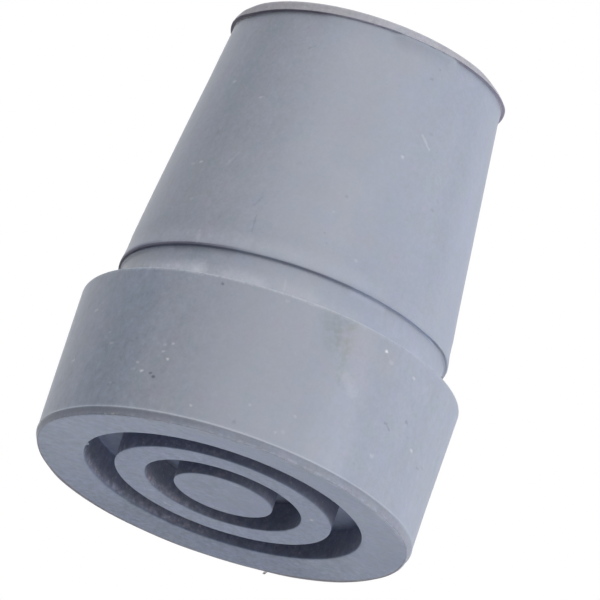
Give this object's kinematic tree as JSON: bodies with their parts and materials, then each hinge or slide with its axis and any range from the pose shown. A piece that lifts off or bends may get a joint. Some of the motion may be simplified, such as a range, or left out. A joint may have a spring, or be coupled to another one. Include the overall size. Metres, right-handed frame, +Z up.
{
  "type": "rubber cane tip",
  "caption": "One-piece moulded rubber foot for a walking cane: wide round base with ring grooves in its tread, narrower tapered tube above and a blind socket for the shaft.",
  "frame": {"origin": "centre of the plane that the tip stands on, on its axis", "axes": "+Z up along the axis, towards the mouth of the socket; the form is round, so +X and +Y are free"},
  "size_m": [0.0404, 0.0404, 0.0495],
  "materials": {
    "grey_rubber": "satin"
  },
  "bodies": {
    "root": {"cane_tip": "grey_rubber"}
  },
  "joints": []
}
